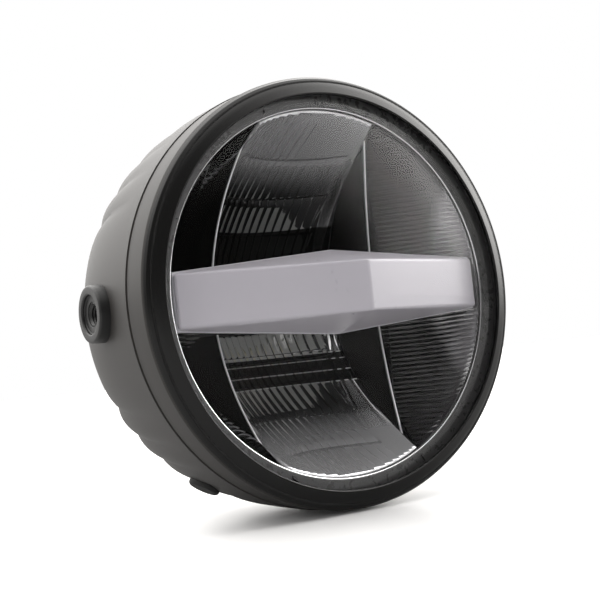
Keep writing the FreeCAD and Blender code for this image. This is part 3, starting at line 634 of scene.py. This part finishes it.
def makeDivider(name, side, half, ledges, node):
    # upright wall: a thin section with a rounded front edge, carried along the bowed line, with a fine
    # ledge at each band; its top is where the bowed line meets the rim, found in a few rounds
    top = 60.0
    for _ in range(8):
        top = math.sqrt((bowl["rim"] - wallLine["rimGap"]) ** 2 - float(wallX(half * top)) ** 2)
    edges = [bowl["slot"]] + ledges + [top]
    heights, steps = [], []
    for index, (low, high) in enumerate(zip(edges, edges[1:])):
        rows = np.linspace(low, high, max(5, int((high - low) * 0.8)))
        heights.append(rows)
        steps.append(np.full(len(rows), index))
    z = half * np.concatenate(heights)[:, None]
    setIn = wallLine["setIn"] * (np.concatenate(steps)[:, None] % 2)
    outer = wallX(z)
    bottom = bowlBehind(outer, z, bowl["focus"])
    shallow = wallLine["deepest"] * np.clip((bowl["rim"] - np.abs(z)) / 8, 0.1, 1)
    back = bottom + np.minimum(bowl["marginDeep"] + wallLine["sunk"], shallow)
    front = np.minimum(wallFront(z), back - wallLine["least"])
    fillet = wallLine["edge"] * 0.45
    middle = (front + back) / 2
    dimmed = front + wallLine["brightEdge"] + 0.1
    x = np.concatenate([outer - setIn, outer - setIn, outer, outer, outer - fillet * 0.6,
                        innerX(z, front) + fillet * 0.6, innerX(z, front), innerX(z, dimmed),
                        innerX(z, middle) - setIn, innerX(z, back) - setIn], axis=1)
    y = np.concatenate([back, middle, dimmed, front + fillet, front,
                        front, front + fillet, dimmed, middle, back], axis=1)
    capX, capY = x.mean(axis=1, keepdims=True), y.mean(axis=1, keepdims=True)
    x = np.concatenate([capX[:1] + 0 * x[:1], x, capX[-1:] + 0 * x[:1]])
    y = np.concatenate([capY[:1] + 0 * y[:1], y, capY[-1:] + 0 * y[:1]])
    z = np.concatenate([z[:1], z, z[-1:]])
    piece = gridPiece(name, side * x, y, z, wallShadeAndHighlight, wrapColumns=True, sharpDeg=40.0,
                      slotName="reflector_metallised")
    spots = np.empty(len(piece.data.vertices) * 3)
    piece.data.vertices.foreach_get("co", spots)
    spots = spots.reshape(-1, 3) / mm
    # painted highlight along the front edge: 1 at the edge, fading to 0 over brightEdge mm
    bright = np.clip(1 - (spots[:, 1] - widestY - wallFront(spots[:, 2])) / wallLine["brightEdge"], 0, 1)
    piece.data.attributes.new("edge", "FLOAT", "POINT").data.foreach_set("value", bright)
    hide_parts(node)


upperLedges = [30.0, 48.0, 58.0]
lowerLedges = [30.0, 48.5, 62.0]
makeDivider("upperLeftWall", -1, 1, upperLedges, "upper_left_divider")
makeDivider("upperRightWall", 1, 1, upperLedges, "upper_right_divider")
makeDivider("lowerLeftWall", -1, -1, lowerLedges, "lower_left_divider")
makeDivider("lowerRightWall", 1, -1, lowerLedges, "lower_right_divider")
print("reflectors ready")


bar = {"halfWidth": 70.2, "ridgeAhead": 19.5, "baseBehind": 5.2, "endHalf": 10.9, "midHalf": 16.7,
       "frontHalf": 9.7, "endAhead": 2.0, "edge": 1.9, "edgeSteps": 4, "edgeFrom": 8.0}


def makeBar():
    # bolt-shaped block from its corner points, with eased edges
    base = bar["baseBehind"] + widestY
    tip = base - bar["endAhead"]
    ridge = widestY - bar["ridgeAhead"]
    wide = bar["halfWidth"]
    upper = [(-wide, base, bar["endHalf"]), (0, base, bar["midHalf"]), (wide, base, bar["endHalf"]),
             (-wide, tip, bar["frontHalf"]), (0, ridge, bar["frontHalf"]), (wide, tip, bar["frontHalf"])]
    corners = np.array(upper + [(x, y, -z) for x, y, z in upper], float) * mm
    faces = [(0, 1, 2, 8, 7, 6), (3, 4, 10, 9), (4, 5, 11, 10), (0, 3, 9, 6), (2, 8, 11, 5)]
    for low in (0, 6):
        faces += [(low, low + 1, low + 4), (low, low + 4, low + 3),
                  (low + 1, low + 2, low + 4), (low + 2, low + 5, low + 4)]
    mesh = bpy.data.meshes.new("opalBar")
    mesh.from_pydata(corners.tolist(), [], faces)
    work = bmesh.new()
    work.from_mesh(mesh)
    bmesh.ops.recalc_face_normals(work, faces=work.faces)
    work.to_mesh(mesh)
    work.free()
    mesh.materials.append(opalFinish)
    piece = bpy.data.objects.new("opalBar", mesh)
    bpy.context.scene.collection.objects.link(piece)
    ease = piece.modifiers.new("ease", "BEVEL")
    ease.width = bar["edge"] * mm
    ease.segments = bar["edgeSteps"]
    ease.limit_method = "ANGLE"
    ease.angle_limit = math.radians(bar["edgeFrom"])
    ease.harden_normals = True
    mesh.polygons.foreach_set("use_smooth", np.ones(len(mesh.polygons), dtype=bool))
    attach(piece, "root")
    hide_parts("light_bar_cover")


makeBar()


shell = {"radius": 85.38, "rearRadius": 43.0, "front": 13.6, "length": 89.5, "valleyStart": 28.0,
         "valleys": 14, "depth": 1.7, "wall": 2.8, "floor": 6.0, "seatRadius": 34.3, "seatDeep": 3.8,
         "hole": 27.5, "lip": 0.35, "bend": 3.2, "bendPower": 0.62}


def shellRadius(share):
    # share runs from 0 at the front edge to 1 at the rear
    fall = (1 - share ** shell["bend"]) ** shell["bendPower"]
    return shell["rearRadius"] + (shell["radius"] - shell["rearRadius"]) * fall


def shellDepth(share):
    # the valleys start a little behind the front edge and are at full depth past the middle
    return shell["depth"] * np.clip((share - 0.08) / 0.5, 0, 1)


def lobeHeight(degrees):
    # 0 in a valley and 1 on a crest; the lobes are parabolas, and the two beside the bushes are long and flat
    start, count = shell["valleyStart"], shell["valleys"]
    step = (180 - 2 * start) / (count - 1)
    turned = np.mod(degrees + start, 180.0)
    wide = turned < 2 * start
    along = np.where(wide, turned / (2 * start), np.mod(turned - 2 * start, step) / step)
    power = np.where(wide, 4 * start / step, 2.0)
    return 1 - np.abs(2 * along - 1) ** power


def makeHousing():
    # lobed bucket: radius falls as a rounded curve towards the flat rear, with valleys that deepen on the way
    start, count = shell["valleyStart"], shell["valleys"]
    step = (180 - 2 * start) / (count - 1)
    narrow = np.arange(0, count - 1)[:, None] * step + np.arange(10)[None] * step / 10
    broad = -start + np.arange(36) * (2 * start) / 36
    half = np.concatenate([broad, start + narrow.ravel()])
    degrees = np.concatenate([half, half + 180])[:, None]
    angle = np.radians(degrees)
    lobe = lobeHeight(degrees)
    share = np.concatenate([np.linspace(0, 0.7, 30), 1 - (1 - np.linspace(0, 1, 42)[1:]) ** 1.7 * 0.3])[None]
    radius = shellRadius(share) - shellDepth(share) * (1 - lobe)
    behind = shell["front"] + shell["length"] * share
    rear, floorTop = behind[0, -1], shell["front"] + shell["length"] - shell["floor"]
    seat = rear - shell["seatDeep"]
    inner = shellRadius(share[:, ::-1]) - shellDepth(share[:, ::-1]) - shell["wall"] + 0 * angle
    innerBehind = np.minimum(behind[:, ::-1], floorTop) + 0 * angle
    floor = np.array([[shell["seatRadius"], rear], [shell["seatRadius"], seat], [shell["hole"], seat],
                      [shell["hole"], floorTop]])
    radius = np.concatenate([radius[:, :1] - shell["lip"], radius, floor[:, 0] + 0 * angle, inner], axis=1)
    behind = behind + 0 * angle
    behind = np.concatenate([behind[:, :1], behind, floor[:, 1] + 0 * angle, innerBehind], axis=1)
    piece = gridPiece("housingShell", radius * np.cos(angle), behind, radius * np.sin(angle), housingSkin,
                      wrapRows=True, wrapColumns=True, sharpDeg=24.0, slotName="housing_black")
    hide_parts("housing_shell")


makeHousing()


bush = {"faceX": 89.5, "radius": 11.1, "rim": 3.6, "recess": 1.5, "depth": 17.0, "mouth": 4.5, "segments": 96,
        "thread": 3.4, "threadDeep": 0.55, "pitch": 1.25, "threadStart": 1.1, "threadLength": 12.0}


def makeBush(name, side, node):
    # turned outline: outside, rounded rim, recess, chamfered mouth; inside, a thread whose crest moves along
    # the hole by one pitch with each turn
    face = bush["faceX"]
    floor = face - bush["recess"]
    inner = face - bush["depth"]
    outer, rim = bush["radius"], bush["radius"] - bush["rim"]
    corners = [(outer, inner, 0.2), (outer, face, 0.9), (rim, face, 0.7), (rim, floor, 0.5),
               (bush["mouth"], floor, 0.3)]
    outline = roundedProfile(corners, 6)
    segments = bush["segments"]
    angle = np.linspace(0, 2 * np.pi, segments, endpoint=False)[:, None]
    mouth = floor - bush["threadStart"]
    depth = np.linspace(mouth, mouth - bush["threadLength"], 120)[None]
    turn = (depth / bush["pitch"] + angle / (2 * np.pi)) % 1.0
    wave = np.abs(2 * turn - 1)
    threadRadius = bush["thread"] + bush["threadDeep"] * wave
    mouthRing = np.full((segments, 1), bush["mouth"] - 0.2)
    outside = np.broadcast_to(outline[:, 0], (segments, len(outline)))
    centre = np.zeros((segments, 2))
    radius = np.concatenate([outside, mouthRing, threadRadius, centre], axis=1)
    place = np.concatenate([outline[:, 1], [floor - 0.3], depth[0], [depth[0, -1], inner]])[None] + 0 * angle
    piece = gridPiece(name, side * place, radius * np.cos(angle) - widestY, radius * np.sin(angle), bushCoat,
                      wrapRows=True, wrapColumns=True, sharpDeg=30.0, slotName="bush_black")
    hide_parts(node)


makeBush("leftBush", -1, "left_side_bush")
makeBush("rightBush", 1, "right_side_bush")
print("housing ready")


sight = {"lens": 67.2, "sensor": 36.0, "nearest": 0.01, "furthest": 50.0, "at": (-0.2487, -0.3992, -0.0271),
         "right": (0.8422, -0.5285, -0.1064), "up": (0.0594, -0.1052, 0.9927),
         "back": (-0.5358, -0.8424, -0.0572)}


def placeCamera():
    data = bpy.data.cameras.new("camera")
    data.lens = sight["lens"]
    data.sensor_width = sight["sensor"]
    data.clip_start, data.clip_end = sight["nearest"], sight["furthest"]
    camera = bpy.data.objects.new("camera", data)
    turned = Matrix((sight["right"], sight["up"], sight["back"])).transposed().to_4x4()
    turned.translation = sight["at"]
    camera.matrix_world = turned
    bpy.context.scene.collection.objects.link(camera)
    bpy.context.scene.camera = camera


placeCamera()


studio = {"floorHalf": 12.0, "floorGap": 0.0004, "sky": 1.0, "low": 0.04, "top": 1.2, "back": 1.8,
          "right": 7.5, "rightSoft": 0.13, "least": 0.18, "gapWay": (-0.35, -0.937, 0.0), "gapOuter": 0.3,
          "gapInner": 0.82}


def makeStage():
    # floor just under the lamp; it looks pale to the eye but throws less light back up
    half, floorZ = studio["floorHalf"], cadLow.z - studio["floorGap"]
    corners = [(-half, -half, floorZ), (half, -half, floorZ), (half, half, floorZ), (-half, half, floorZ)]
    mesh = bpy.data.meshes.new("floor")
    mesh.from_pydata(corners, [], [(0, 1, 2, 3)])
    finish = Finish("floorFinish")
    pale = finish.mix(finish.noise(2.0), (0.97,) * 3, (0.98,) * 3)
    seen = finish.shader(Base_Color=pale, Roughness=0.3)
    unseen = finish.node("ShaderNodeBsdfDiffuse", None, {"Color": (0.4, 0.4, 0.4)})
    path = finish.node("ShaderNodeLightPath").of("Is Camera Ray")
    both = finish.node("ShaderNodeMixShader", None, {0: path, 1: unseen, 2: seen})
    mesh.materials.append(finish.show(both))
    floor = bpy.data.objects.new("floor", mesh)
    bpy.context.scene.collection.objects.link(floor)


def makeWorld():
    # plain white to the eye; for light, a soft sky that is dim near the ground, brighter overhead and behind,
    # a strong light on the right that shows mostly in gloss, and a dark gap where the viewer stands
    finish = Finish("studio", world=True)
    way = finish.node("ShaderNodeTexCoord").of("Generated")
    parts = finish.node("ShaderNodeSeparateXYZ", None, {0: way})
    x, y, z = parts.of("X"), parts.of("Y"), parts.of("Z")
    gap = finish.node("ShaderNodeVectorMath", {"operation": "DOT_PRODUCT"}, {0: way, 1: studio["gapWay"]})
    glossy = finish.node("ShaderNodeLightPath").of("Is Glossy Ray")
    height = finish.ramp(z, -0.05, 0.65, studio["low"], studio["sky"])
    top = finish.ramp(z, 0.4, 0.8) * studio["top"]
    clear = finish.ramp(gap.of("Value"), studio["gapOuter"], studio["gapInner"], 1.0, 0.0)
    back = finish.ramp(y, 0.1, 0.9) * studio["back"]
    inGloss = glossy * (1.0 - studio["rightSoft"]) + studio["rightSoft"]
    right = finish.ramp(x, 0.3, 1.0) * (finish.ramp(y, 0.15, -0.1) * inGloss) * studio["right"]
    strength = (height + top + (back + right) * finish.ramp(z, -0.15, 0.25)) * clear + studio["least"]
    light = finish.node("ShaderNodeBackground", None, {"Color": (1.0, 0.985, 0.965), "Strength": strength})
    white = finish.node("ShaderNodeBackground", None, {"Color": (1.0, 1.0, 1.0), "Strength": 1.0})
    seen = finish.node("ShaderNodeLightPath").of("Is Camera Ray")
    both = finish.node("ShaderNodeMixShader", None, {0: seen, 1: light, 2: white})
    bpy.context.scene.world = finish.show(both)
    bpy.context.scene.view_settings.view_transform = "Standard"


def addLamp(name, place, aim, size, watts, mirrored=True):
    data = bpy.data.lights.new(name, "AREA")
    data.shape = "RECTANGLE"
    data.size, data.size_y = size
    data.energy = watts
    lamp = bpy.data.objects.new(name, data)
    lamp.location = place
    lamp.visible_glossy = mirrored
    lamp.rotation_euler = (Vector(aim) - Vector(place)).to_track_quat("-Z", "Y").to_euler()
    bpy.context.scene.collection.objects.link(lamp)


makeStage()
makeWorld()
addLamp("softTop", (-0.3, 0.6, 1.4), (0, 0, 0), (2.0, 2.0), 4.0)
addLamp("softFront", (-0.9, -1.3, 0.3), (0, 0, 0), (0.9, 0.9), 8.0, mirrored=False)
print("stage ready")
